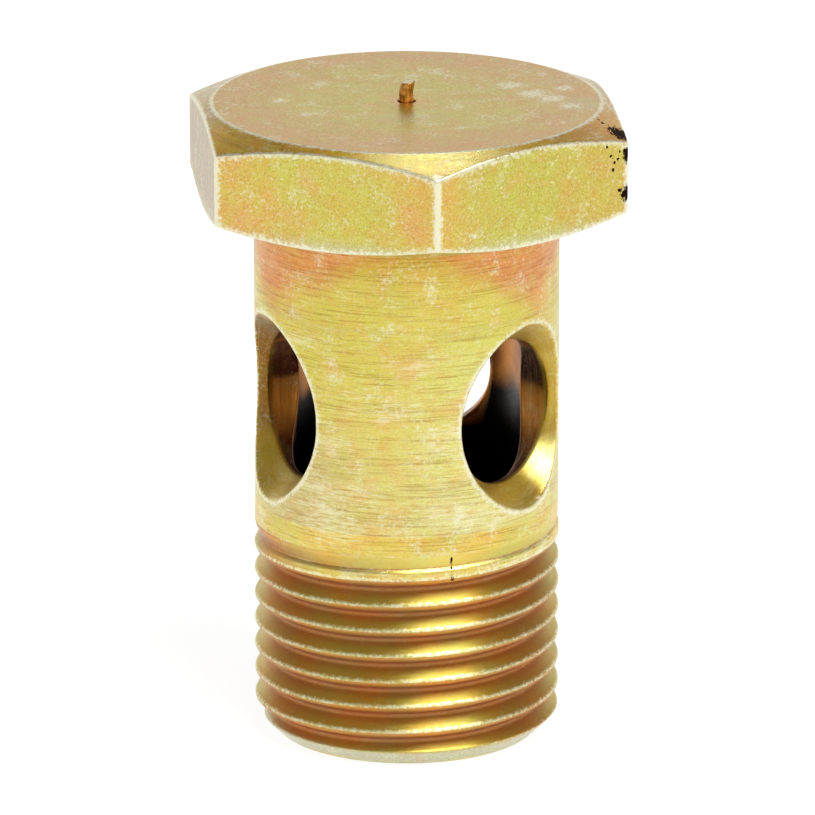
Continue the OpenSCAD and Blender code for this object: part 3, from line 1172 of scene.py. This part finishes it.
def pin_material():
    """Bronze wire, dark in its drawing lines, with a pale cut end."""
    g = Graph(bpy.data.materials.new("bronze_wire"))
    place = g.position()
    x, y, z = g.split(place)
    drawn_place = g.join(g.times(x, DRAWN_FINE), g.times(y, DRAWN_FINE), z)
    drawn = g.noise(drawn_place, size=0.6, detail=4.0, rough=0.7)
    blot = g.noise(place, size=0.4, detail=3.0, rough=0.6)
    colour = g.mix(BRONZE_DARK, BRONZE_LIGHT, g.ramp(blot, 0.3, 0.62))
    colour = g.mix(colour, DRAWN_DARK, g.times(g.ramp(drawn, 0.5, 0.4), 0.6))
    colour = g.mix(colour, CUT_END, g.attribute("cut"))
    return g.finish(SHADER, {
        "Base Color": colour,
        "Metallic": 1.0,
        "Roughness": g.plus(0.22, g.times(blot, 0.2)),
        "Normal": g.bump(drawn, distance=0.02, strength=0.5),
    })


# ---- the pin


PIN_SIDES = 24
PIN_LOW, PIN_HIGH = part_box("vent_pin")
PIN_BOTTOM = PIN_LOW.z / MM
PIN_TOP = PIN_HIGH.z / MM
WIRE_R = 0.5
COLLAR_R = 0.9
COLLAR_TOP = PIN_BOTTOM + 0.4
COLLAR_ROUND = 0.05
# Height and sideways shift of the wire's middle
KINK = (
    (HEAD_H - 0.4, 0.0), (HEAD_H + 0.2, -0.02), (HEAD_H + 0.5, -0.05), (HEAD_H + 0.85, -0.01), (PIN_TOP, 0.1),
)
# Two dents: depth, angle, and how far above the head they are deepest
DENT = 0.06
DENT_ANGLE = 1.0
DENT_RISE = 0.4
# The sheared end: length, lean, and how far it is let down to stay in the CAD box
SHEAR = 0.3
SHEAR_LEAN = 0.06
SHEAR_DROP = 0.06
# Rings on the end face: their share of the wire's radius, and how far they dip
END_RINGS = ((0.8, 0.0), (0.4, 0.015))


def pin_stations():
    """Heights and radii from the collar to the pin's end."""
    stations = [
        (PIN_BOTTOM, COLLAR_R - COLLAR_ROUND), (PIN_BOTTOM + COLLAR_ROUND, COLLAR_R),
        (COLLAR_TOP - COLLAR_ROUND, COLLAR_R), (COLLAR_TOP, COLLAR_R - COLLAR_ROUND), (COLLAR_TOP, WIRE_R),
    ]
    stations += [(z, WIRE_R) for z in np.linspace(COLLAR_TOP + 0.3, HEAD_H - 0.4, 6)]
    stations += [(z, WIRE_R) for z in np.linspace(HEAD_H - 0.2, PIN_TOP - 0.1, 14)]
    return stations + [(PIN_TOP - 0.05, WIRE_R - 0.01), (PIN_TOP - 0.02, WIRE_R - 0.05)]


def pin_ring(z, radius):
    """Points round the wire at a height."""
    shift = float(np.interp(z, *zip(*KINK)))
    sheared = float(ramp(z, PIN_TOP - SHEAR, PIN_TOP))
    drop = SHEAR_DROP if z > PIN_TOP - SHEAR else 0
    points = []
    for turn in np.linspace(0, 2 * math.pi, PIN_SIDES, endpoint=False):
        dent = DENT * max(0, math.cos(turn * 2 + DENT_ANGLE)) * float(ramp(z, HEAD_H, HEAD_H + DENT_RISE))
        reach = radius * (1 - dent)
        lean = SHEAR_LEAN * math.cos(turn) * sheared
        height = z - drop + lean
        points.append((shift + reach * math.cos(turn), reach * math.sin(turn), height))
    return points


def pin_piece():
    """The jiggle pin: collar, straight shaft, a slight kink above the head and a sheared end."""
    points, faces = [], []
    for z, radius in pin_stations():
        points += pin_ring(z, radius)
    wire_count = len(points)
    edge = np.array(points[-PIN_SIDES:])
    centre = edge.mean(axis=0)
    for share, dip in END_RINGS:
        points += [tuple(place) for place in centre + (edge - centre) * share - (0, 0, dip)]
    for upper in range(PIN_SIDES, len(points), PIN_SIDES):
        for k in range(upper, upper + PIN_SIDES):
            n = k + 1 if k + 1 < upper + PIN_SIDES else upper
            faces.append((k - PIN_SIDES, n - PIN_SIDES, n, k))
    faces.append(tuple(range(len(points) - PIN_SIDES, len(points))))
    faces.append(tuple(reversed(range(PIN_SIDES))))
    cut = [0.0] * wire_count + [1.0] * (len(points) - wire_count)
    return make_piece("bent_pin", points, faces, {"cut": cut}, pin_material())


# ---- the pieces and the CAD nodes


body = body_skin().build("bolt_body", body_material())
weighted = body.modifiers.new("weighted", "WEIGHTED_NORMAL")
weighted.keep_sharp = True
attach(body, "bolt")
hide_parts("vent_body")

pin = pin_piece()
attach(pin, "float")
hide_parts("vent_pin")

# Materials of the hidden parts: colour, darker tone, size of the mottling, metallic, roughness
PLAIN = {
    "rubber": (srgb(44, 44, 46), srgb(26, 26, 28), 0.8, 0.0, 0.75),
    "brass": (srgb(214, 176, 92), srgb(166, 126, 58), 1.2, 1.0, 0.3),
    "acetal": (srgb(234, 228, 208), srgb(216, 206, 178), 2.5, 0.0, 0.45),
    "stainless": (srgb(190, 192, 196), srgb(150, 150, 154), 1.5, 1.0, 0.32),
    "spring_steel": (srgb(128, 130, 136), srgb(84, 82, 84), 0.9, 1.0, 0.35),
}
# The CAD nodes that are kept: material, and width of their broken edges
KEPT = {
    "seal_disc": ("rubber", 0.06),
    "seal_washer": ("brass", 0.04),
    "float_cup": ("acetal", 0.05),
    "float_lid": ("acetal", 0.05),
    "retainer_disc": ("stainless", 0.05),
    "snap_ring": ("spring_steel", 0.02),
}


def dress(node, material, bevel):
    """Gives a CAD node its material and slightly broken edges."""
    part = frame["nodes"][node]
    part.data.materials.clear()
    part.data.materials.append(material)
    edge = part.modifiers.new("edge", "BEVEL")
    edge.width = bevel * MM
    edge.segments = 2
    edge.limit_method = "ANGLE"


plain = {name: plain_material(name, *look) for name, look in PLAIN.items()}
for node, (material_name, bevel) in KEPT.items():
    dress(node, plain[material_name], bevel)


# ---- floor, light and camera


# The floor lies just under the end face, by a gap in millimetres. Places from here on are in metres
FLOOR_GAP = 0.01
FLOOR_HALF = 3.0
FLOOR_GREY = 0.2
FLOOR_ROUGH = 0.9
FLOOR_GLOW = 0.86
# What the camera and the lights aim at
AIM = Vector((0, 0, -0.01485))
LIGHT_DISTANCE = 0.5
# The sky is white below the first of these places and grey above the second
SKY = ((0.3, (1, 1, 1, 1)), (0.6, (0.35, 0.35, 0.36, 1)))
CAMERA_DISTANCE = 0.6044
CAMERA_ELEVATION = 17.23
CAMERA_LENS = 389.15
CAMERA_SENSOR = 36
CAMERA_SHIFT = 0.001
CAMERA_CLIP = (0.01, 20)


def add_floor():
    """A plain pale floor that glows a little, so that it stays white."""
    mesh = bpy.data.meshes.new("floor")
    z = cad_box[0][2] - FLOOR_GAP * MM
    signs = ((-1, -1), (1, -1), (1, 1), (-1, 1))
    mesh.from_pydata([(x * FLOOR_HALF, y * FLOOR_HALF, z) for x, y in signs], [], [(0, 1, 2, 3)])
    mesh.materials.append(Graph(bpy.data.materials.new("paper")).finish(SHADER, {
        "Base Color": (FLOOR_GREY, FLOOR_GREY, FLOOR_GREY, 1),
        "Roughness": FLOOR_ROUGH,
        "Emission Color": (1, 1, 1, 1),
        "Emission Strength": FLOOR_GLOW,
    }))
    add_object("floor", mesh)


def aim(holder, azimuth, elevation, distance):
    """Places an object round the bolt, looking at its middle."""
    turn, rise = math.radians(azimuth), math.radians(elevation)
    way = Vector((math.sin(turn) * math.cos(rise), -math.cos(turn) * math.cos(rise), math.sin(rise)))
    holder.location = AIM + way * distance
    holder.rotation_euler = way.to_track_quat("Z", "Y").to_euler()


def add_light(name, azimuth, elevation, size, power):
    """A square soft light."""
    lamp = bpy.data.lights.new(name, "AREA")
    lamp.size = size
    lamp.energy = power
    aim(add_object(name, lamp), azimuth, elevation, LIGHT_DISTANCE)


def add_world():
    """A studio that is white low down and grey above."""
    g = Graph(bpy.data.worlds.new("studio"))
    sky = g.node("TexCoord").outputs["Generated"]
    fade = g.node("ValToRGB", Fac=g.split(sky)[2])
    for element, (place, colour) in zip(fade.color_ramp.elements, SKY):
        element.position = place
        element.color = colour
    bpy.context.scene.world = g.finish("Background", {"Color": fade.outputs[0], "Strength": 1.0})


def add_camera():
    """The camera at the photograph's viewing angle."""
    data = bpy.data.cameras.new("camera")
    data.sensor_width = CAMERA_SENSOR
    data.lens = CAMERA_LENS
    data.shift_x = CAMERA_SHIFT
    data.shift_y = CAMERA_SHIFT
    data.clip_start, data.clip_end = CAMERA_CLIP
    camera = add_object("camera", data)
    aim(camera, CAMERA_AZIMUTH, CAMERA_ELEVATION, CAMERA_DISTANCE)
    bpy.context.scene.camera = camera


add_floor()
add_world()
add_light("rear", azimuth=CAMERA_AZIMUTH + 174, elevation=59.5, size=0.1, power=0.12)
add_light("key", azimuth=CAMERA_AZIMUTH + 38, elevation=60, size=0.3, power=2.7)
add_camera()
bpy.context.scene.view_settings.view_transform = "Standard"
